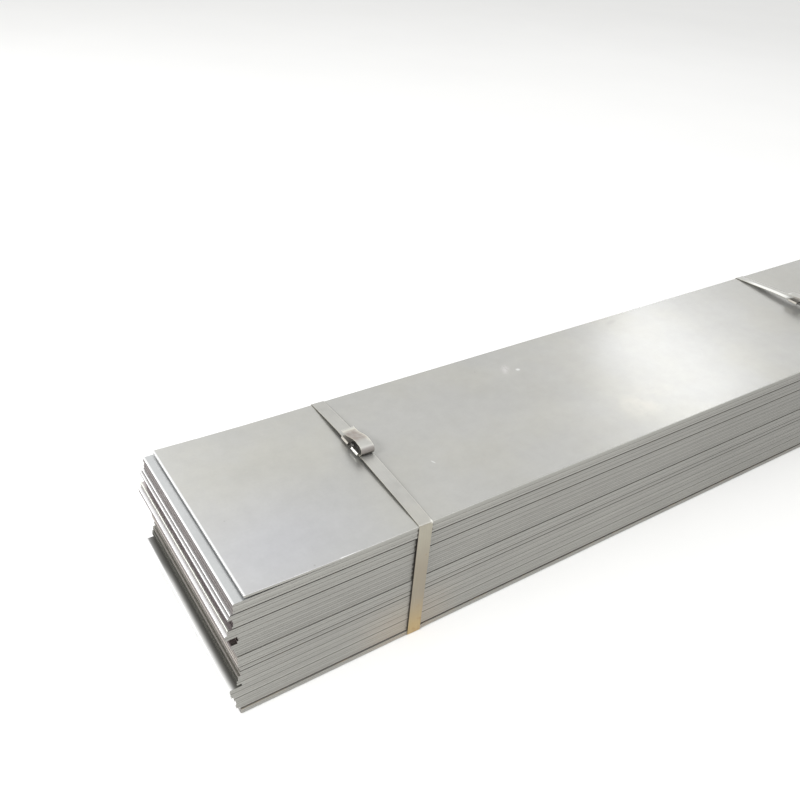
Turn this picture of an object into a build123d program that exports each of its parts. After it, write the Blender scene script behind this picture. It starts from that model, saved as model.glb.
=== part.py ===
from build123d import *
import math
import os

# ---------------------------------------------------------------------------
# A strapped bundle of sheared steel plates, lying flat.
#
# Fifty-two plates of one size lie on each other, a little out of line with
# each other. Two flat steel straps go round the bundle. Each strap's ends
# overlap on top inside a folded and crimped sheet-metal seal that stands up
# off the plates a little. The outer end comes out of the seal on the near
# side, turns up in a round nose and lies back over the seal.
#
# Working frame: X along the plates, Y from the near long edge to the far one,
# Z up, with zero at the near left top corner of the top plate. Everything is
# moved at the end so that the origin is at the middle of the underside.
# ---------------------------------------------------------------------------

# plates
PLATE_L = 2440.0        # length
PLATE_W = 470.0         # width
PLATE_T = 6.0           # thickness
N_PLATES = 52
EDGE_ROUND = 0.16       # rounding of the sheared edges inside a pack of plates
OUTER_ROUND = 1.0       # rounding of the outermost edges, under the straps
END_ROUND = 1.5         # rounding of a short end that sticks out on its own
LIFT_H = 5.0            # the top plate's left end springs up by this much
LIFT_L = 290.0          # over this length

# Place of each plate from the top down: how far its left end sticks out to the
# left of the top plate's, and how far its near edge lies behind the top
# plate's near edge.
OUT_LEFT = [
    2.0, 23.4, 23.8, 23.0, 24.2, 23.4, 28.8, 33.8, 25.0, 23.4,
    24.0, 26.0, 35.4, 35.9, 41.6, 41.0, 17.4, 16.2, 18.6, 31.5,
    30.8, 26.4, 25.2, 23.4, 22.6, 21.6, 22.4, 21.0, 21.8, 21.2,
    18.4, 17.6, 19.0, 18.0, 22.6, 23.2, 25.8, 26.4, 16.5, 41.5,
    41.0, 40.4, 39.0, 35.0, 34.2, 31.4, 30.6, 31.8, 31.0, 23.6,
    22.8, 23.6,
]
SET_BACK = [
    0.0, 0.3, 0.1, 0.2, 0.0, 4.3, 4.2, 4.3, 4.1, 4.4,
    4.2, 4.3, 4.1, 4.0, 4.1, 3.9, 4.2, 4.0, 4.1, 4.0,
    4.2, 4.1, 4.0, 4.2, 4.1, 2.9, 3.0, 2.9, 3.1, 2.9,
    2.8, 2.9, 2.7, 2.8, 2.7, 2.8, 2.8, 2.7, 2.8, 2.6,
    2.7, 2.6, 2.7, 2.8, 2.8, 2.9, 2.8, 2.9, 3.0, 3.0,
    0.6, 0.4,
]

# Where two packs of plates meet, the sheared edges that face each other are
# rounded more and leave a groove: radius, by the number of the plate above it.
GROOVE = {
    5: 0.30, 6: 1.60, 8: 0.30, 12: 1.50, 15: 0.32, 18: 0.22, 20: 0.42, 23: 0.50,
    25: 1.10, 27: 0.35, 30: 0.95, 32: 1.20, 34: 0.28, 37: 0.55, 39: 0.25,
    41: 0.45, 44: 0.95, 47: 0.35, 50: 1.70, 51: 0.30,
}

# straps
STRAP_W = 32.0          # width
STRAP_T = 0.9           # thickness
STRAP_GAP = 0.7         # room between the strap and the outermost plates
STRAP_R = 2.0           # inside radius where it goes round an edge
LAYER_GAP = 0.15        # room between two layers at the joint
STRAP_TURN = {"left": 1.35, "right": 1.1}      # degrees askew across the bundle
STRAP_LEAN = 0.9        # degrees that its upright runs lean, foot to the left
STRAP_X = {"left": 382.7, "right": 1933.0}     # centre, at the near edge

# joints of the straps: centre of the seal from the near edge, and how high
# the inner layer's underside lies above the top plate there
JOINT_Y = {"left": 280.0, "right": 237.0}
JOINT_H = {"left": 7.4, "right": 13.0}
RISE_R = 1000.0         # how softly the strap bends up and down

# The free end behind the nose, as (radius, degrees) for an arc and (length,)
# for a straight run; the first arc is the nose.
FREE_END = {
    "left": [(11.2, -165), (70, -35), (11,), (60, 14), (8,), (24, 24)],
    "right": [(9.0, -172), (160, -14), (48,)],
}

# seals
SEAL_L = 72.0           # length
SEAL_T = 0.9            # sheet thickness
SEAL_H = 5.8            # height
SEAL_TOP = 34.8         # width across the top
SEAL_FOOT = 42.4        # width across the foot of the slanted sides
SEAL_SLOT = 12.0        # open slot between the two folded flanges
SEAL_R = 1.5            # outer corner radius
CRIMP_L = 14.0          # length of the crimp at the middle
CRIMP_IN = 6.0          # how far it is pressed in at each side

H = N_PLATES * PLATE_T
DROP = H + STRAP_GAP + STRAP_T        # height of the top plate's top face


# --------------------------------------------------------------------- paths

def unit(a, b):
    d = math.hypot(b[0] - a[0], b[1] - a[1])
    return ((b[0] - a[0]) / d, (b[1] - a[1]) / d)


def round_corners(pts, radii):
    """Turns a run of corner points into straight runs and tangent arcs.
    Each entry is ("L", start, end) or ("A", start, end, centre, radius, turn)
    with turn +1 to the left and -1 to the right."""
    out = []
    here = pts[0]
    for i in range(1, len(pts) - 1):
        p, q, n = pts[i - 1], pts[i], pts[i + 1]
        u, v = unit(p, q), unit(q, n)
        cross = u[0] * v[1] - u[1] * v[0]
        ang = math.atan2(cross, u[0] * v[0] + u[1] * v[1])
        r = radii[i - 1]
        t = r * math.tan(abs(ang) / 2)
        s = (q[0] - u[0] * t, q[1] - u[1] * t)
        e = (q[0] + v[0] * t, q[1] + v[1] * t)
        side = 1 if ang > 0 else -1
        c = (s[0] - u[1] * r * side, s[1] + u[0] * r * side)
        out.append(("L", here, s))
        out.append(("A", s, e, c, r, side))
        here = e
    out.append(("L", here, pts[-1]))
    return out


def heading(seg):
    """Direction at the end of a segment."""
    if seg[0] == "L":
        return unit(seg[1], seg[2])
    _, s, e, c, r, side = seg
    rx, ry = (e[0] - c[0]) / r, (e[1] - c[1]) / r
    return (-ry * side, rx * side)


def add_arc(segs, radius, degrees):
    """Goes on from the end of a path along a tangent arc."""
    last = segs[-1]
    p = last[2]
    d = heading(last)
    side = 1 if degrees > 0 else -1
    c = (p[0] - d[1] * radius * side, p[1] + d[0] * radius * side)
    a = math.radians(degrees)
    rx, ry = p[0] - c[0], p[1] - c[1]
    e = (c[0] + rx * math.cos(a) - ry * math.sin(a),
         c[1] + rx * math.sin(a) + ry * math.cos(a))
    segs.append(("A", p, e, c, radius, side))


def add_line(segs, length):
    p = segs[-1][2]
    d = heading(segs[-1])
    segs.append(("L", p, (p[0] + d[0] * length, p[1] + d[1] * length)))


def side_edges(segs, off):
    """Edges of the path shifted by off to its left, in the YZ plane."""
    pts = []
    edges = []
    for seg in segs:
        if seg[0] == "L":
            u = unit(seg[1], seg[2])
            n = (-u[1] * off, u[0] * off)
            a = (seg[1][0] + n[0], seg[1][1] + n[1])
            b = (seg[2][0] + n[0], seg[2][1] + n[1])
            edges.append(Edge.make_line((0, a[0], a[1]), (0, b[0], b[1])))
        else:
            _, s, e, c, r, side = seg
            k = (r - off * side) / r
            a = (c[0] + (s[0] - c[0]) * k, c[1] + (s[1] - c[1]) * k)
            b = (c[0] + (e[0] - c[0]) * k, c[1] + (e[1] - c[1]) * k)
            a0 = math.atan2(s[1] - c[1], s[0] - c[0])
            a1 = math.atan2(e[1] - c[1], e[0] - c[0])
            turn = (a1 - a0) * side % (2 * math.pi) * side
            am = a0 + turn / 2
            m = (c[0] + r * k * math.cos(am), c[1] + r * k * math.sin(am))
            edges.append(Edge.make_three_point_arc(
                (0, a[0], a[1]), (0, m[0], m[1]), (0, b[0], b[1])))
        pts.append((a, b))
    return edges, pts[0][0], pts[-1][1]


def strip(segs, thick, width):
    """A flat strip that follows the path, centred on X."""
    left, l0, l1 = side_edges(segs, thick / 2)
    right, r0, r1 = side_edges(segs, -thick / 2)
    caps = [Edge.make_line((0, l0[0], l0[1]), (0, r0[0], r0[1])),
            Edge.make_line((0, l1[0], l1[1]), (0, r1[0], r1[1]))]
    wire = Wire(left + right + caps)
    return extrude(Face(wire), width / 2, dir=(1, 0, 0), both=True)


# -------------------------------------------------------------------- plates

def flat_plate(top_round, bottom_round, end_round):
    p = Box(PLATE_L, PLATE_W, PLATE_T,
            align=(Align.MIN, Align.MIN, Align.MAX))
    top = p.faces().sort_by(Axis.Z)[-1]
    if end_round > top_round:
        p = fillet(top.edges().filter_by(Axis.Y), end_round)
        top = p.faces().sort_by(Axis.Z)[-1]
        p = fillet(top.edges().filter_by(Axis.X), top_round)
    else:
        p = fillet(top.edges(), top_round)
    return fillet(p.faces().sort_by(Axis.Z)[0].edges(), bottom_round)


def sprung_plate():
    """The top plate: flat, but its left end springs up off the next plate."""
    r = (LIFT_L ** 2 + LIFT_H ** 2) / (2 * LIFT_H)
    a = math.asin(LIFT_L / r)

    def on_arc(rad, ang):
        return (LIFT_L - rad * math.sin(ang), 0,
                r - PLATE_T - rad * math.cos(ang))
    ri = r - PLATE_T
    edges = [
        Edge.make_line((PLATE_L, 0, -PLATE_T), (LIFT_L, 0, -PLATE_T)),
        Edge.make_three_point_arc(on_arc(r, 0), on_arc(r, a / 2), on_arc(r, a)),
        Edge.make_line(on_arc(r, a), on_arc(ri, a)),
        Edge.make_three_point_arc(on_arc(ri, a), on_arc(ri, a / 2), on_arc(ri, 0)),
        Edge.make_line((LIFT_L, 0, 0), (PLATE_L, 0, 0)),
        Edge.make_line((PLATE_L, 0, 0), (PLATE_L, 0, -PLATE_T)),
    ]
    p = extrude(Face(Wire(edges)), PLATE_W, dir=(0, 1, 0))
    tops = p.faces().filter_by(lambda f: f.normal_at().Z > 0.9)
    rim = [e for e in tops.edges()
           if not (e.geom_type == GeomType.LINE
                   and abs(e.center().X - LIFT_L) < 0.01)]
    return fillet(rim, OUTER_ROUND)


def plates():
    out = {}
    for i in range(N_PLATES):
        above = GROOVE.get(i, EDGE_ROUND)
        below = GROOVE.get(i + 1, EDGE_ROUND)
        alone = i > 0 and OUT_LEFT[i] > OUT_LEFT[i - 1] + 3
        end = END_ROUND if alone else above
        if i == 0:
            p = sprung_plate()
        elif i == N_PLATES - 1:
            p = flat_plate(above, OUTER_ROUND, end)
        else:
            p = flat_plate(above, below, end)
        out["plate_%02d" % (i + 1)] = Pos(
            -OUT_LEFT[i], SET_BACK[i], -i * PLATE_T) * p
    return out


# -------------------------------------------------------------------- straps

def strap_path(side):
    half = STRAP_T / 2
    off = STRAP_GAP + half
    y0 = JOINT_Y[side]
    z_in = JOINT_H[side] + half                 # inner layer at the joint
    z_out = z_in + STRAP_T + LAYER_GAP          # outer layer at the joint
    back = PLATE_W + off
    far = max(SET_BACK)                         # the next plates stand out
    pts = [
        (y0 + 42, z_in),                        # inner end, under the outer layer
        (y0 - 57, z_in),
        (70, off + 0.55 * (z_in - off)),
        (-off, off),                            # near top edge
        (-off, -H - off),                       # near bottom edge
        (back + 0.6, -H - off),                 # far bottom edge
        (back + far, -H + 12),
        (back + far, -20),
        (back, off),                            # far top edge
        (y0 + 76, z_out),
        (y0 - SEAL_L / 2 - 1, z_out),           # past the seal
    ]
    r = STRAP_R + half
    radii = [RISE_R, RISE_R, r, r, r, 8, 30, r, RISE_R]
    segs = round_corners(pts, radii)
    for piece in FREE_END[side]:
        if len(piece) == 2:
            add_arc(segs, *piece)
        else:
            add_line(segs, *piece)
    return segs


def leaning(segs):
    """The strip with its two edges in planes that lean, its faces as before."""
    slab = Rot(0, STRAP_LEAN, 0) * Box(
        STRAP_W * math.cos(math.radians(STRAP_LEAN)), 4 * PLATE_W, 4 * PLATE_W)
    return strip(segs, STRAP_T, STRAP_W + 16) & slab


def crimp_cut(side):
    """The two bites that the crimp takes out of the strap's edges."""
    z = JOINT_H[side]
    cut = Part()
    for s in (-1, 1):
        cut += Pos(s * (STRAP_W / 2 - CRIMP_IN + 5), JOINT_Y[side], z + 1) * Box(
            10, CRIMP_L + 1.2, 4.6)
    return cut


def seal(side):
    """A sheet-metal sleeve folded round both layers, its sides slanted, its
    flanges underneath, pressed in at the middle of each side."""
    z0 = JOINT_H[side] - 0.15 - SEAL_T

    def sleeve(narrower, l, y):
        top, foot = SEAL_TOP / 2 - narrower, SEAL_FOOT / 2 - narrower
        outer = make_face(Polyline((-top, SEAL_H), (top, SEAL_H), (foot, 0),
                                   (-foot, 0), close=True))
        outer = fillet(outer.vertices(), SEAL_R)
        sk = outer - offset(outer, -SEAL_T)
        sk -= Rectangle(SEAL_SLOT, 2.4 * SEAL_T)
        body = extrude(Plane.XZ * sk, l / 2, both=True)
        return Pos(0, JOINT_Y[side] + y, z0) * body
    end = (SEAL_L - CRIMP_L) / 2
    s = sleeve(0, end, -(CRIMP_L + end) / 2)
    s += sleeve(CRIMP_IN, CRIMP_L, 0)
    s += sleeve(0, end, (CRIMP_L + end) / 2)
    return s


def place(shape, side):
    return Pos(STRAP_X[side], 0, 0) * Rot(0, 0, -STRAP_TURN[side]) * shape


nodes = plates()
for name in ("left", "right"):
    band = leaning(strap_path(name)) - crimp_cut(name)
    nodes["strap_" + name] = place(band, name)
    nodes["seal_" + name] = place(seal(name), name)

# the origin goes to the middle of the underside
boxes = [s.bounding_box() for s in nodes.values()]
cx = (min(b.min.X for b in boxes) + max(b.max.X for b in boxes)) / 2
cy = (min(b.min.Y for b in boxes) + max(b.max.Y for b in boxes)) / 2
cz = min(b.min.Z for b in boxes)
print("shift", cx, cy, cz)

os.makedirs("parts", exist_ok=True)
for name, shape in nodes.items():
    export_step(Pos(-cx, -cy, -cz) * shape, "parts/%s.step" % name)
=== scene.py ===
import math

import bpy
from mathutils import Matrix, Quaternion, Vector


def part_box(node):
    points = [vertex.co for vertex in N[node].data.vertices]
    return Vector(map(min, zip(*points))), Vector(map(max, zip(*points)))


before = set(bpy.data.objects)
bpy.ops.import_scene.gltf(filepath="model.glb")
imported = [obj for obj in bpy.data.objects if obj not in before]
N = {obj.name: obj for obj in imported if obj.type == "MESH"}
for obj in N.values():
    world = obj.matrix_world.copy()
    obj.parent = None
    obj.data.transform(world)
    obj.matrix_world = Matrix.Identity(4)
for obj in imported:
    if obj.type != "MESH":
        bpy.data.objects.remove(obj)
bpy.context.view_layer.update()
scene = bpy.context.scene

# ---------------------------------------------------------------- the frame
# Photo frame: zero 2 mm inside the top plate's near left corner, level with
# its flat top face, X along the plates, Y across them to the far side, Z up,
# metres.
lo1, hi1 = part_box("plate_01")
lo52, hi52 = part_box("plate_52")
T = 0.006                                   # plate thickness
X0, Y0 = lo1.x + 0.002, lo1.y
Z0 = hi52.z + 51 * T                        # top face of the stack
ZB = lo52.z                                 # underside of the lowest plate
PL, PW = 2.440, 0.470


def at(x, y, z=0.0):
    """A point of the photo frame in the row frame."""
    return Vector((X0 + x, Y0 + y, Z0 + z))


# --------------------------------------------------------------- the camera
AZ, EL, ROLL = math.radians(-35.174), math.radians(33.947), math.radians(4.109)
back = Vector((math.sin(AZ) * math.cos(EL), -math.cos(AZ) * math.cos(EL), math.sin(EL)))
right = (-back).cross(Vector((0, 0, 1))).normalized()
up = right.cross(-back)
r = math.cos(ROLL) * right + math.sin(ROLL) * up
u = -math.sin(ROLL) * right + math.cos(ROLL) * up
cam_data = bpy.data.cameras.new("camera")
cam_data.sensor_width = 36.0
cam_data.lens = 37.104
cam_data.clip_end = 200.0
cam = bpy.data.objects.new("camera", cam_data)
scene.collection.objects.link(cam)
rot = Matrix((r, u, back)).transposed().to_4x4()
cam.matrix_world = Matrix.Translation(at(-0.36964, -0.94920, 1.10270)) @ rot
scene.camera = cam


# ------------------------------------------------------------- node helpers
class Mat:
    """A material made of nodes, with short names for the usual ones."""

    def __init__(self, name):
        self.m = bpy.data.materials.new(name)
        self.m.use_nodes = True
        self.t = self.m.node_tree
        self.t.nodes.clear()
        self.out = self.t.nodes.new("ShaderNodeOutputMaterial")
        self.bsdf = self.t.nodes.new("ShaderNodeBsdfPrincipled")
        self.t.links.new(self.bsdf.outputs[0], self.out.inputs[0])
        self.tc = self.t.nodes.new("ShaderNodeTexCoord")
        self.geo = self.t.nodes.new("ShaderNodeNewGeometry")
        self.P = self.tc.outputs["Object"]
        s = self.t.nodes.new("ShaderNodeSeparateXYZ")
        self.t.links.new(self.P, s.inputs[0])
        self.x, self.y, self.z = s.outputs
        s = self.t.nodes.new("ShaderNodeSeparateXYZ")
        self.t.links.new(self.geo.outputs["Normal"], s.inputs[0])
        self.nx, self.ny, self.nz = s.outputs
        s = self.t.nodes.new("ShaderNodeSeparateXYZ")
        self.t.links.new(self.tc.outputs["Generated"], s.inputs[0])
        self.gx, self.gy, self.gz = s.outputs

    def put(self, socket, v):
        if isinstance(v, bpy.types.NodeSocket):
            self.t.links.new(v, socket)
        elif isinstance(v, (tuple, list)) and len(v) == 3 and len(socket.default_value) == 4:
            socket.default_value = (*v, 1.0)
        else:
            socket.default_value = v

    def math(self, op, a, b=0.0, c=0.0, clamp=False):
        n = self.t.nodes.new("ShaderNodeMath")
        n.operation = op
        n.use_clamp = clamp
        for i, v in enumerate((a, b, c)):
            self.put(n.inputs[i], v)
        return n.outputs[0]

    def add(self, a, b):
        return self.math("ADD", a, b)

    def mul(self, a, b):
        return self.math("MULTIPLY", a, b)

    def sub(self, a, b):
        return self.math("SUBTRACT", a, b)

    def map(self, v, a0, a1, b0=0.0, b1=1.0, smooth=True):
        n = self.t.nodes.new("ShaderNodeMapRange")
        n.interpolation_type = "SMOOTHSTEP" if smooth else "LINEAR"
        n.clamp = True
        self.put(n.inputs["Value"], v)
        for k, w in zip(("From Min", "From Max", "To Min", "To Max"), (a0, a1, b0, b1)):
            self.put(n.inputs[k], w)
        return n.outputs[0]

    def vec(self, x, y, z):
        n = self.t.nodes.new("ShaderNodeCombineXYZ")
        for i, v in enumerate((x, y, z)):
            self.put(n.inputs[i], v)
        return n.outputs[0]

    def scaled(self, sx, sy, sz, off=(0, 0, 0)):
        n = self.t.nodes.new("ShaderNodeMapping")
        self.put(n.inputs["Vector"], self.P)
        n.inputs["Location"].default_value = off
        n.inputs["Scale"].default_value = (sx, sy, sz)
        return n.outputs[0]

    def noise(self, vec, scale=1.0, detail=2.0, rough=0.5, lac=2.0, dist=0.0):
        n = self.t.nodes.new("ShaderNodeTexNoise")
        self.put(n.inputs["Vector"], vec)
        for k, v in (("Scale", scale), ("Detail", detail), ("Roughness", rough),
                     ("Lacunarity", lac), ("Distortion", dist)):
            self.put(n.inputs[k], v)
        return n.outputs["Fac"]

    def white(self, w):
        n = self.t.nodes.new("ShaderNodeTexWhiteNoise")
        n.noise_dimensions = "1D"
        self.put(n.inputs["W"], w)
        return n.outputs["Value"]

    def voronoi(self, vec, scale, feature="F1", rnd=1.0):
        n = self.t.nodes.new("ShaderNodeTexVoronoi")
        n.feature = feature
        self.put(n.inputs["Vector"], vec)
        self.put(n.inputs["Scale"], scale)
        self.put(n.inputs["Randomness"], rnd)
        return n.outputs["Distance"], n.outputs.get("Color")

    def mix(self, f, a, b, mode="MIX"):
        n = self.t.nodes.new("ShaderNodeMix")
        n.data_type = "RGBA"
        n.blend_type = mode
        n.clamp_factor = True
        self.put(n.inputs[0], f)
        self.put(n.inputs[6], a)
        self.put(n.inputs[7], b)
        return n.outputs[2]

    def lerp(self, f, a, b):
        n = self.t.nodes.new("ShaderNodeMix")
        n.data_type = "FLOAT"
        n.clamp_factor = True
        self.put(n.inputs[0], f)
        self.put(n.inputs[2], a)
        self.put(n.inputs[3], b)
        return n.outputs[0]

    def grey(self, v):
        return self.vec(v, v, v)

    def blob(self, cx, cy, rx, ry, turn=0.0, soft=1.0):
        """1 at a point of the top face, falling to 0 at an ellipse round it."""
        c = at(cx, cy)
        dx, dy = self.sub(self.x, c.x), self.sub(self.y, c.y)
        ca, sa = math.cos(turn), math.sin(turn)
        a = self.math("DIVIDE", self.add(self.mul(dx, ca), self.mul(dy, sa)), rx)
        b = self.math("DIVIDE", self.sub(self.mul(dy, ca), self.mul(dx, sa)), ry)
        d = self.math("SQRT", self.add(self.mul(a, a), self.mul(b, b)))
        return self.map(d, 1.0 - soft, 1.0, 1.0, 0.0)

    def bump(self, height, distance, strength=1.0, normal=None):
        n = self.t.nodes.new("ShaderNodeBump")
        self.put(n.inputs["Strength"], strength)
        n.inputs["Distance"].default_value = distance
        self.put(n.inputs["Height"], height)
        if normal is not None:
            self.put(n.inputs["Normal"], normal)
        return n.outputs[0]

    def finish(self, colour, rough, normal, metallic=1.0):
        self.put(self.bsdf.inputs["Base Color"], colour)
        self.put(self.bsdf.inputs["Roughness"], rough)
        self.put(self.bsdf.inputs["Metallic"], metallic)
        if normal is not None:
            self.put(self.bsdf.inputs["Normal"], normal)
        return self.m


# -------------------------------------------------------- the plates' steel
# Line of each strap's middle on the top plate: place at the near edge, turn.
STRAPS = ((0.3827, 1.35), (1.9330, 1.10))
LEAN = 0.9                                  # of the upright runs, foot to the left


def plate_steel(tag, end, ledge=None, lip=None, inner=None, far=None, metal=0.90, dirt=0.0,
                gap=1.0):
    """Steel of a run of plates.
    end    colour of the left short ends, painted light and shade
    ledge  colour of the faces where they stick out at the left, painted light and shade, with
    inner  its colour further in, a painted shade next to the plates above, and
    far    its colour towards the far side, a painted shade
    lip    colour of the rounded upper edge of the left short ends, a painted highlight with some edge wear dirt  grime and painted shade on the faces along the long edges
    gap    brightness of the grooves of the long sides"""
    k = Mat("plate_steel_" + tag)
    anz = k.math("ABSOLUTE", k.nz)
    anx = k.math("ABSOLUTE", k.nx)
    flat = k.map(anz, 0.93, 0.985)                     # the rolled faces
    wall = k.map(anz, 0.10, 0.22, 1.0, 0.0)            # the sheared sides
    ends = k.map(anx, 0.20, 0.36)                      # of these, the short ends
    h = k.math("DIVIDE", k.sub(k.z, ZB + 0.0001), T)
    idx = k.math("FLOOR", h)
    v = k.math("FRACT", h)
    rnd = k.white(k.add(idx, 0.37))
    rnd2 = k.white(k.add(idx, 71.63))
    left = k.math("LESS_THAN", k.gx, 0.5)
    from_end = k.mul(k.gx, PL)
    top = k.map(k.z, Z0 - 0.0040, Z0 - 0.0034)         # the top plate, above its middle

    # rolled faces: soft mottling, faint streaks along the rolling direction,
    # a fine pickled grain, sparse dark specks and short bright scuffs
    mottle = k.noise(k.P, 3.2, 4.0, 0.55)
    cloud = k.noise(k.scaled(0.8, 2.2, 1.0, (3.1, 0.7, 0)), 4.0, 3.0, 0.5)
    patch = k.noise(k.P, 34.0, 4.0, 0.62)
    blotch = k.noise(k.scaled(1.0, 1.0, 0.0, (5.0, 2.0, 0)), 150.0, 3.0, 0.6)
    streak = k.noise(k.scaled(2.0, 190.0, 1.0), 1.0, 5.0, 0.62)
    fine = k.noise(k.scaled(420.0, 900.0, 900.0), 1.0, 2.0, 0.6)
    tone = k.add(0.970, k.mul(k.sub(mottle, 0.5), 0.11))
    tone = k.add(tone, k.mul(k.sub(cloud, 0.5), 0.11))
    tone = k.add(tone, k.mul(k.sub(patch, 0.5), 0.13))
    tone = k.add(tone, k.mul(k.sub(blotch, 0.5), 0.06))
    tone = k.add(tone, k.mul(k.sub(streak, 0.5), 0.03))
    tone = k.add(tone, k.mul(k.sub(fine, 0.5), 0.03))
    tone = k.mul(tone, k.map(k.x, at(1.68, 0).x, at(1.86, 0).x, 1.0, 0.92))
    hue = k.map(k.noise(k.P, 5.5, 3.0, 0.5), 0.34, 0.66)
    base = k.mix(hue, (0.604, 0.603, 0.581), (0.607, 0.602, 0.563))
    cool = k.mul(k.blob(0.10, 0.08, 0.34, 0.26, 0.3, 1.0), top)
    base = k.mix(cool, base, (0.618, 0.622, 0.640))
    face = k.mix(1.0, base, k.grey(tone), "MULTIPLY")
    speck_d, _ = k.voronoi(k.scaled(1.0, 1.0, 0.0), 26.0)
    speck = k.mul(k.map(speck_d, 0.035, 0.060, 1.0, 0.0),
                  k.map(k.noise(k.P, 9.0, 2.0), 0.52, 0.64))
    face = k.mix(k.mul(speck, 0.35), face, (0.30, 0.29, 0.27))
    scratch = k.noise(k.scaled(16.0, 520.0, 1.0, (0.3, 0.9, 0)), 1.0, 2.0, 0.55)
    scratch = k.mul(k.map(scratch, 0.66, 0.82),
                    k.map(k.noise(k.P, 5.0, 2.0), 0.50, 0.66))
    face = k.mix(k.mul(scratch, 0.16), face, (0.78, 0.78, 0.77))

    # marks on the top plate only
    blots = k.map(k.noise(k.P, 24.0, 5.0, 0.62), 0.32, 0.68)
    stain = k.add(k.blob(1.080, 0.095, 0.085, 0.060, -0.4, 0.8),
                  k.mul(k.blob(1.175, 0.125, 0.100, 0.055, -0.4, 0.9), 0.6))
    stain = k.mul(k.mul(k.math("MINIMUM", stain, 1.0), blots), top)
    face = k.mix(k.mul(stain, 0.52), face, (0.76, 0.735, 0.665))
    smudge = k.mul(k.blob(1.331, 0.441, 0.032, 0.012, 0.2, 0.8), top)
    face = k.mix(k.mul(smudge, 0.30), face, (0.36, 0.36, 0.35))
    rub = k.mul(k.blob(0.890, 0.380, 0.032, 0.016, 0.9, 0.9), k.map(blotch, 0.34, 0.54))
    face = k.mix(k.mul(k.mul(rub, top), 0.75), face, (0.80, 0.775, 0.765))
    scuff = k.add(k.blob(0.920, 0.365, 0.0085, 0.0070, 0.0, 0.7),
                  k.mul(k.blob(0.508, 0.155, 0.0085, 0.0028, -1.2, 0.6), 0.7))
    scuff = k.mul(k.math("MINIMUM", scuff, 1.0), top)
    face = k.mix(k.mul(scuff, 0.90), face, (0.93, 0.93, 0.92))
    shine = k.mul(k.map(k.x, at(0.55, 0).x, at(1.05, 0).x), k.map(k.x, at(1.85, 0).x, at(1.55, 0).x))
    mid = k.add(k.mul(k.sub(k.y, Y0), math.tan(math.radians(STRAPS[0][1]))), X0 + STRAPS[0][0])
    rolled = k.math("GREATER_THAN", k.x, mid)          # the smoother part, right of the left strap
    face_rough = k.lerp(rolled, 0.340, k.lerp(shine, 0.258, 0.222))
    face_rough = k.add(face_rough, k.mul(k.sub(mottle, 0.5), 0.030))
    face_rough = k.add(face_rough, k.mul(k.sub(streak, 0.5), 0.012))
    face_rough = k.add(face_rough, k.mul(stain, 0.025))

    # where a short end sticks out from the plate above: its ledge, painted light and shade,
    # and its rounded lip, a painted highlight with some edge wear
    face_metal = k.lerp(k.mul(rolled, top), 0.90, 0.65)
    face = k.mix(1.0, face, k.grey(k.lerp(k.mul(rolled, top), 1.0, 0.88)), "MULTIPLY")
    if ledge:
        bare = k.map(from_end, 0.027, 0.042, 1.0, 0.0)
        # painted shade: the ledge darkens towards the far side and, further in, next to the plates
        # above
        if far:
            ledge = k.mix(k.map(k.y, Y0 + 0.30, Y0 + 0.39), ledge, far)
        if inner:
            t = k.math("POWER", k.math("DIVIDE", from_end, 0.0074), 2.0)
            ledge = k.mix(k.math("EXPONENT", k.mul(t, -1.0)), inner, ledge)
        face = k.mix(bare, face, k.mix(1.0, ledge, k.grey(tone), "MULTIPLY"))
        face_metal = k.lerp(bare, 0.90, metal)
    # painted highlight with some edge wear: a bright strip of face at the very end
    if lip:
        face = k.mix(k.map(from_end, 0.0020, 0.0046, 0.9, 0.0), face, lip)
    # grime and painted shade on the faces within a few mm of the long edges
    if dirt:
        from_side = k.mul(k.math("MINIMUM", k.gy, k.sub(1.0, k.gy)), PW)
        face = k.mix(k.map(from_side, 0.0035, 0.0060, dirt, 0.0), face, (0.110, 0.104, 0.092))

    # sheared sides: smooth band where the blade cut, torn band below it,
    # faint upright score lines, each plate its own shade
    score = k.noise(k.vec(k.mul(k.x, 900.0), k.mul(k.y, 900.0),
                          k.add(k.mul(k.z, 40.0), k.mul(rnd, 91.0))), 1.0, 3.0, 0.6)
    drift = k.noise(k.vec(k.add(k.mul(k.x, 3.0), k.mul(rnd, 61.0)),
                          k.mul(k.y, 3.0), k.mul(rnd2, 17.0)), 1.0, 3.0, 0.55)
    haze = k.noise(k.scaled(5.0, 5.0, 9.0, (1.7, 0.2, 4.1)), 1.0, 3.0, 0.5)
    torn = k.map(k.add(v, k.mul(k.sub(score, 0.5), 0.25)), 0.30, 0.55, 1.0, 0.0)
    shade = k.add(0.96, k.mul(k.sub(rnd, 0.5), 0.15))
    shade = k.add(shade, k.mul(k.sub(drift, 0.5), 0.18))
    etone = k.add(shade, k.mul(k.sub(haze, 0.5), 0.16))
    etone = k.add(etone, k.mul(k.sub(score, 0.5), 0.06))
    etone = k.sub(etone, k.mul(torn, 0.035))
    # painted shade: the sides darken towards the right end
    etone = k.mul(etone, k.map(k.x, at(0.9, 0).x, at(1.6, 0).x, 1.0, 0.89))
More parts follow.
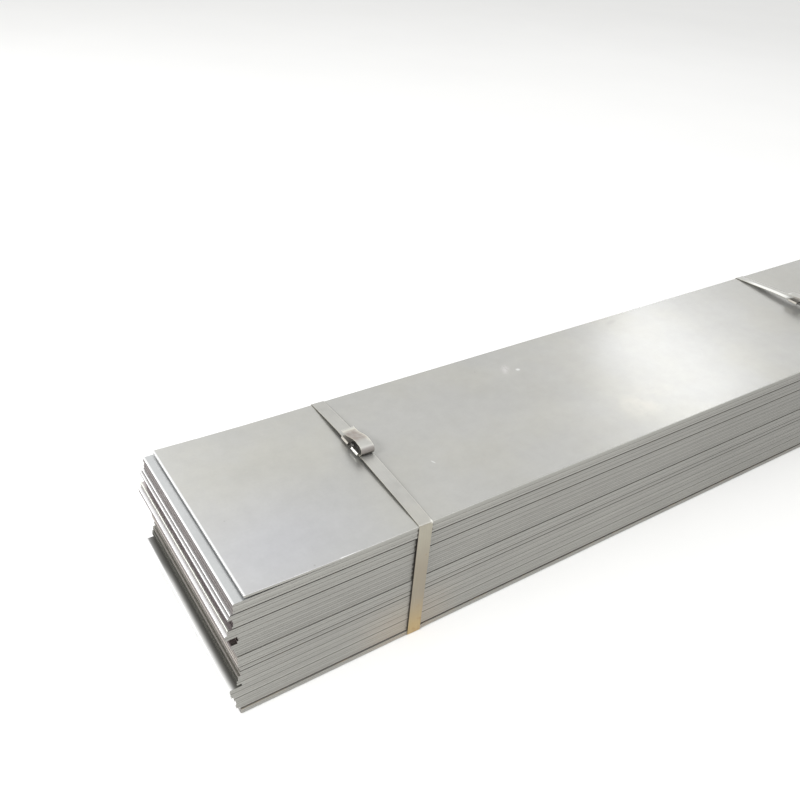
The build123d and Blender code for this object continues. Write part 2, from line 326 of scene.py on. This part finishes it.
    # painted light: the sides lighten near the foot of the stack
    etone = k.mul(etone, k.map(k.z, 0.02, 0.16, 1.10, 1.0))
    etone = k.mul(etone, k.map(k.z, Z0 - 0.032, Z0 - 0.028, 1.0, 1.10))
    side = k.mix(1.0, (0.334, 0.329, 0.306), k.grey(etone), "MULTIPLY")
    rust_n = k.noise(k.vec(k.mul(k.x, 34.0), k.mul(k.y, 34.0),
                           k.add(k.mul(k.z, 90.0), k.mul(rnd2, 40.0))), 1.0, 4.0, 0.6)
    low = k.map(k.z, 0.02, 0.16, 1.0, 0.0)
    by_strap = k.mul(k.map(k.math("ABSOLUTE", k.sub(k.x, at(0.36, 0).x)), 0.02, 0.16, 1.0, 0.0), low)
    side = k.mix(k.mul(by_strap, 0.55), side, (0.440, 0.378, 0.304))
    rust = k.mul(k.map(rust_n, 0.60, 0.74), k.add(0.07, k.mul(by_strap, 0.25)))
    side = k.mix(rust, side, (0.30, 0.205, 0.125))
    leant = k.mul(k.sub(k.z, Z0), math.tan(math.radians(LEAN)))
    # painted shadow with some grime: the sides go dark behind each strap's upright run and a mm or
    # two beyond its edges
    for x, _ in STRAPS:
        d = k.math("ABSOLUTE", k.sub(k.x, k.add(leant, X0 + x)))
        hid = k.map(k.add(d, k.mul(k.sub(rnd, 0.5), 0.0036)), 0.0162, 0.0185, 1.0, 0.0)
        hid = k.mul(hid, k.map(k.z, 0.04, 0.24, 0.50, 0.85))
        side = k.mix(hid, side, (0.066, 0.055, 0.045))
    # painted light and shade: the left short ends take each run's end colour, dark where the run
    # lies in shade and light where light falls; the right ends get a plain steel tone
    end = k.mix(left, (0.345, 0.335, 0.315), end)
    end = k.mix(1.0, end, k.grey(k.add(0.15, k.mul(shade, 0.9))), "MULTIPLY")
    side = k.mix(ends, side, end)
    side_rough = k.add(0.46, k.mul(torn, 0.06))
    side_rough = k.add(side_rough, k.mul(k.sub(drift, 0.5), 0.10))
    side_metal = k.lerp(ends, 0.62, 0.97)

    # rounded edges: grime and painted shade in the grooves of the long sides, painted
    # highlights with some edge wear on the short ends' lips, bare steel round the top plate
    groove = k.mix(k.map(rust_n, 0.45, 0.70), (0.052, 0.049, 0.044), (0.085, 0.070, 0.052))
    groove = k.mix(1.0, groove, (gap, gap, gap), "MULTIPLY")
    curve = k.mix(ends, groove, k.mix(1.0, end, (0.8, 0.8, 0.8), "MULTIPLY"))
    curve_rough, curve_metal = 0.70, k.lerp(ends, 0.25, 0.90)
    # painted highlight with some edge wear: the upward-facing rounded lips of the left ends are
    # bright
    if lip:
        up = k.mul(k.mul(ends, left), k.map(k.nz, 0.02, 0.12))
        curve = k.mix(up, curve, lip)
        curve_rough = k.lerp(up, curve_rough, 0.34)
        curve_metal = k.lerp(up, curve_metal, 0.55)
    rim = k.mul(top, k.sub(1.0, ends))
    curve = k.mix(rim, curve, face)
    curve_rough = k.lerp(top, curve_rough, 0.34)
    curve_metal = k.lerp(rim, curve_metal, 0.90)

    colour = k.mix(flat, k.mix(wall, curve, side), face)
    rough = k.lerp(flat, k.lerp(wall, curve_rough, side_rough), face_rough)
    metal = k.lerp(flat, k.lerp(wall, curve_metal, side_metal), face_metal)
    long_side = k.mul(wall, k.sub(1.0, ends))
    bumps = k.add(k.mul(flat, k.add(k.mul(mottle, 1.0), k.mul(patch, 0.12))),
                  k.mul(long_side, k.add(k.mul(score, 0.35), k.mul(torn, -0.25))))
    normal = k.bump(bumps, 0.00006, 0.5)
    return k.finish(colour, rough, normal, metal)


# -------------------------------------------------------- strap and seal


def strap_steel():
    k = Mat("strap_steel")
    anz = k.math("ABSOLUTE", k.nz)
    flat = k.map(anz, 0.45, 0.85)                      # the runs on top and below
    mids = []                                          # the straps' middle lines
    for x, turn in STRAPS:
        mid = k.add(k.mul(k.sub(k.y, Y0), math.tan(math.radians(turn))), X0 + x)
        mids.append(k.add(mid, k.mul(k.sub(k.z, Z0), math.tan(math.radians(LEAN)))))
    is_right = k.math("GREATER_THAN", k.x, at(1.2, 0).x)
    across = k.sub(k.x, k.lerp(is_right, mids[0], mids[1]))
    off = k.math("ABSOLUTE", across)
    along = k.noise(k.vec(k.mul(k.x, 700.0), k.mul(k.y, 9.0), k.mul(k.z, 9.0)), 1.0, 4.0, 0.6)
    blot = k.noise(k.P, 42.0, 5.0, 0.62)
    blot2 = k.noise(k.P, 13.0, 4.0, 0.6)
    fine = k.noise(k.P, 900.0, 2.0, 0.6)
    tone = k.add(0.95, k.mul(k.sub(along, 0.5), 0.18))
    tone = k.add(tone, k.mul(k.sub(blot, 0.5), 0.18))
    tone = k.add(tone, k.mul(k.sub(fine, 0.5), 0.12))
    level = k.map(k.z, 0.0, Z0, 0.0, 1.0, False)
    upright = k.mix(k.map(level, 0.0, 0.42, 0.0, 1.0), (0.500, 0.378, 0.198), (0.343, 0.304, 0.241))
    upright = k.mix(k.map(level, 0.55, 1.0, 0.0, 1.0), upright, (0.410, 0.384, 0.316))
    base = k.mix(flat, upright, (0.586, 0.582, 0.553))
    # the free end: a brown painted reflection on the side that falls away from the near turn,
    # and painted shade, greyer, where that turn bends down
    free = k.map(k.z, Z0 + 0.0128, Z0 + 0.0150)
    bloom = k.mul(k.mul(free, k.sub(1.0, is_right)), k.map(k.ny, -0.10, 0.14))
    bloom = k.mul(bloom, k.map(k.noise(k.P, 75.0, 3.0, 0.6), 0.34, 0.60, 0.45, 1.0))
    base = k.mix(bloom, base, (0.455, 0.405, 0.370))
    # a cream painted highlight on the far end and right edge of the left strap's free end
    tip = k.mul(k.mul(free, k.sub(1.0, is_right)),
                k.math("MAXIMUM", k.map(k.y, Y0 + 0.306, Y0 + 0.320),
                       k.mul(k.map(across, 0.0070, 0.0130), 0.6)))
    tip = k.mul(tip, k.map(k.ny, -0.25, 0.0))
    base = k.mix(k.mul(tip, 0.60), base, (0.760, 0.745, 0.655))
    loop = k.map(k.z, Z0 + 0.0060, Z0 + 0.0080)
    nose = k.mul(k.mul(loop, k.sub(1.0, is_right)), k.map(k.ny, -0.30, -0.95))
    base = k.mix(k.mul(nose, 0.85), base, (0.400, 0.372, 0.365))
    # painted shade: the loop's underside is painted near black
    under = k.mul(loop, k.map(k.nz, -0.02, -0.40))
    colour = k.mix(1.0, base, k.grey(tone), "MULTIPLY")
    rust = k.map(k.add(blot, k.mul(k.map(level, 0.0, 0.35, 1.0, 0.0), 0.10)), 0.60, 0.74)
    rust = k.mul(rust, k.lerp(flat, 0.45, 0.08))
    colour = k.mix(rust, colour, (0.33, 0.19, 0.085))
    worn = k.map(along, 0.62, 0.74)
    colour = k.mix(k.mul(worn, 0.30), colour, (0.66, 0.64, 0.59))
    near_edge = k.mul(k.map(k.y, Y0 + 0.0, Y0 + 0.10, 1.0, 0.0), flat)
    colour = k.mix(k.mul(near_edge, k.mul(blot2, 0.30)), colour, (0.60, 0.55, 0.42))
    rim = k.map(off, 0.0138, 0.0156)                   # edges worn bright, with a painted highlight along the right edge of the left free end
    rubbed = k.lerp(is_right, k.map(across, -0.002, 0.002, 0.25, 0.65), 0.15)
    rim = k.mul(rim, k.lerp(k.mul(free, k.map(k.ny, -0.30, 0.0)), k.mul(flat, 0.25), rubbed))
    colour = k.mix(k.mul(rim, k.sub(1.0, under)), colour, (0.80, 0.78, 0.69))
    glint = k.mul(k.mul(is_right, k.map(across, 0.0045, -0.0020)),
                  k.mul(k.map(k.y, Y0 + 0.450, Y0 + 0.395), k.mul(flat, k.map(k.z, Z0, Z0 + 0.001))))
    glint = k.mul(glint, k.map(k.y, Y0 + 0.276, Y0 + 0.290))
    colour = k.mix(glint, colour, (0.84, 0.84, 0.81))
    # a painted highlight at the right edge of the left strap where it bends over the near top edge
    worn_bend = k.mul(k.map(across, 0.0105, 0.0145), k.map(k.y, Y0 + 0.009, Y0 + 0.001))
    worn_bend = k.mul(k.mul(worn_bend, k.sub(1.0, is_right)), k.map(k.z, Z0 - 0.004, Z0 - 0.001))
    colour = k.mix(k.mul(worn_bend, 0.42), colour, (0.95, 0.95, 0.91))
    # painted shade: the strap's narrow edge faces on the upright runs are dark
    thin = k.mul(k.map(k.math("ABSOLUTE", k.nx), 0.70, 0.90), k.map(k.z, Z0 - 0.004, Z0 - 0.012))
    colour = k.mix(thin, colour, (0.055, 0.047, 0.040))
    colour = k.mix(k.mul(under, 0.92), colour, (0.050, 0.046, 0.042))
    rough = k.add(0.38, k.mul(k.sub(blot, 0.5), 0.20))
    rough = k.add(rough, k.mul(rust, 0.25))
    rough = k.add(rough, k.mul(loop, 0.14))
    bumps = k.mul(k.add(k.mul(along, 0.6), k.mul(blot, 0.7)), k.sub(1.0, k.mul(loop, 0.7)))
    normal = k.bump(bumps, 0.00010, 0.5)
    bright = k.math("MAXIMUM", k.math("MAXIMUM", glint, worn_bend), k.mul(tip, 0.6))
    return k.finish(colour, rough, normal, k.lerp(bright, k.lerp(rust, 0.90, 0.35), 0.25))


def seal_steel():
    k = Mat("seal_steel")
    blot = k.noise(k.P, 120.0, 4.0, 0.6)
    fine = k.noise(k.vec(k.mul(k.x, 1500.0), k.mul(k.y, 90.0), k.mul(k.z, 1500.0)), 1.0, 3.0, 0.6)
    tone = k.add(0.97, k.mul(k.sub(blot, 0.5), 0.20))
    tone = k.add(tone, k.mul(k.sub(fine, 0.5), 0.12))
    colour = k.mix(1.0, (0.83, 0.82, 0.775), k.grey(tone), "MULTIPLY")
    stain = k.map(blot, 0.62, 0.78)
    colour = k.mix(k.mul(stain, 0.30), colour, (0.50, 0.43, 0.32))
    # rougher and darker towards the far end; grime and painted shade in the pressed notch
    dull = k.map(k.gy, 0.50, 0.62)
    colour = k.mix(dull, colour, k.mix(1.0, (0.50, 0.475, 0.43), k.grey(tone), "MULTIPLY"))
    crimp = k.mul(k.map(k.gy, 0.375, 0.405), k.map(k.gy, 0.625, 0.595))
    colour = k.mix(k.mul(crimp, 0.92), colour, (0.085, 0.080, 0.074))
    rough = k.add(0.30, k.mul(k.sub(blot, 0.5), 0.20))
    rough = k.add(rough, k.mul(k.math("MAXIMUM", dull, crimp), 0.22))
    normal = k.bump(k.add(k.mul(fine, 0.5), k.mul(blot, 0.6)), 0.00008, 0.5)
    return k.finish(colour, rough, normal)


def wear(obj, mat):
    obj.data.materials.clear()
    obj.data.materials.append(mat)


# bright lip colour: a painted highlight with some edge wear
LIP = (0.93, 0.935, 0.94)
# runs of plates from the top down, each with the number of its last plate
# each run's end, ledge and lip colours are painted light and shade: darker where the run sits in
# shade below the plates above it, brighter where light falls on it
RUNS = (
    (1, plate_steel("top", (0.50, 0.49, 0.485), lip=LIP)),
    (2, plate_steel("second", (0.195, 0.172, 0.170), (0.585, 0.598, 0.602), LIP)),
    (6, plate_steel("upper", (0.195, 0.172, 0.170))),
    (8, plate_steel("pair", (0.160, 0.140, 0.140), (0.70, 0.70, 0.69), LIP)),
    (12, plate_steel("recess", (0.110, 0.092, 0.095), (0.30, 0.27, 0.27))),
    (14, plate_steel("step", (0.300, 0.280, 0.280), (0.55, 0.50, 0.50), (0.80, 0.81, 0.75))),
    (15, plate_steel("shelf", (0.260, 0.225, 0.225), (0.80, 0.80, 0.80), LIP, metal=0.25)),
    (16, plate_steel("shelf_low", (0.200, 0.175, 0.172), (0.40, 0.37, 0.36))),
    (25, plate_steel("wall", (0.170, 0.146, 0.143), (0.24, 0.21, 0.20), dirt=0.7)),
    (31, plate_steel("wall_mid", (0.390, 0.356, 0.330), (0.40, 0.39, 0.35))),
    (35, plate_steel("wall_low", (0.240, 0.222, 0.205), (0.34, 0.335, 0.30))),
    (39, plate_steel("foot", (0.066, 0.063, 0.055), (0.30, 0.30, 0.27))),
    (50, plate_steel("base", (0.80, 0.80, 0.795), (0.96, 0.96, 0.96), (0.86, 0.86, 0.86),
                     (0.085, 0.083, 0.074), (0.36, 0.36, 0.36), 0.10)),
    (52, plate_steel("lowest", (0.30, 0.29, 0.28), dirt=0.6, gap=2.6)),
)
band, sleeve = strap_steel(), seal_steel()
for name, obj in N.items():
    if name.startswith("plate"):
        wear(obj, next(m for last, m in RUNS if int(name[6:]) <= last))
    else:
        wear(obj, band if name.startswith("strap") else sleeve)


# ------------------------------------------------------------ floor, lights
def floor_paint():
    k = Mat("floor_paint")
    n = k.noise(k.P, 1.3, 3.0, 0.5)
    c = k.mix(n, (0.895, 0.895, 0.89), (0.925, 0.925, 0.92))
    return k.finish(c, 0.85, None, 0.0)


me = bpy.data.meshes.new("floor")
s = 40.0
me.from_pydata([(-s, -s, 0), (s, -s, 0), (s, s, 0), (-s, s, 0)], [], [(0, 1, 2, 3)])
floor = bpy.data.objects.new("floor", me)
scene.collection.objects.link(floor)
floor.location.z = -0.0002
me.materials.append(floor_paint())


def area(name, target, azimuth, elevation, dist, sx, sy, watts, colour=(1, 1, 1), roll=0.0):
    """A soft box that faces a point. Azimuth is counted from +X towards +Y."""
    a, e = math.radians(azimuth), math.radians(elevation)
    d = Vector((math.cos(e) * math.cos(a), math.cos(e) * math.sin(a), math.sin(e)))
    l = bpy.data.lights.new(name, "AREA")
    l.shape = "RECTANGLE"
    l.size, l.size_y = sx, sy
    l.energy = watts
    l.color = colour
    o = bpy.data.objects.new(name, l)
    scene.collection.objects.link(o)
    o.location = target + d * dist
    turn = Quaternion((0.0, 0.0, 1.0), math.radians(roll))
    o.rotation_euler = ((-d).to_track_quat("-Z", "Y") @ turn).to_euler()
    return o


area("gleam", at(1.30, 0.16), 33.8, 29.3, 7.0, 1.8, 0.8, 8.6, (0.955, 0.97, 1.0), -28.0)
area("halo", at(1.30, 0.16), 35.0, 29.4, 7.0, 3.6, 2.2, 3.0, (1, 1, 1), -28.0)
area("back_left", at(0.3, 0.2), 88.0, 46.0, 7.0, 3.2, 3.2, 18.0)
area("left_window", at(0.2, 0.25), 130.0, 22.0, 7.0, 3.0, 2.4, 80.0)
area("left_side", at(0.0, 0.2), 195.0, 38.0, 7.0, 2.5, 2.5, 360.0)
area("key", at(0.8, 0.2), -20.0, 74.0, 7.0, 4.0, 4.0, 60.0)
area("front", at(0.6, 0.0), -95.0, 50.0, 7.0, 4.0, 4.0, 30.0)

world = bpy.data.worlds.new("studio")
world.use_nodes = True
scene.world = world
bg = world.node_tree.nodes["Background"]
bg.inputs["Color"].default_value = (1.0, 1.0, 0.99, 1.0)
bg.inputs["Strength"].default_value = 0.80

scene.view_settings.view_transform = "Standard"
scene.view_settings.look = "None"
scene.view_settings.exposure = 0.0
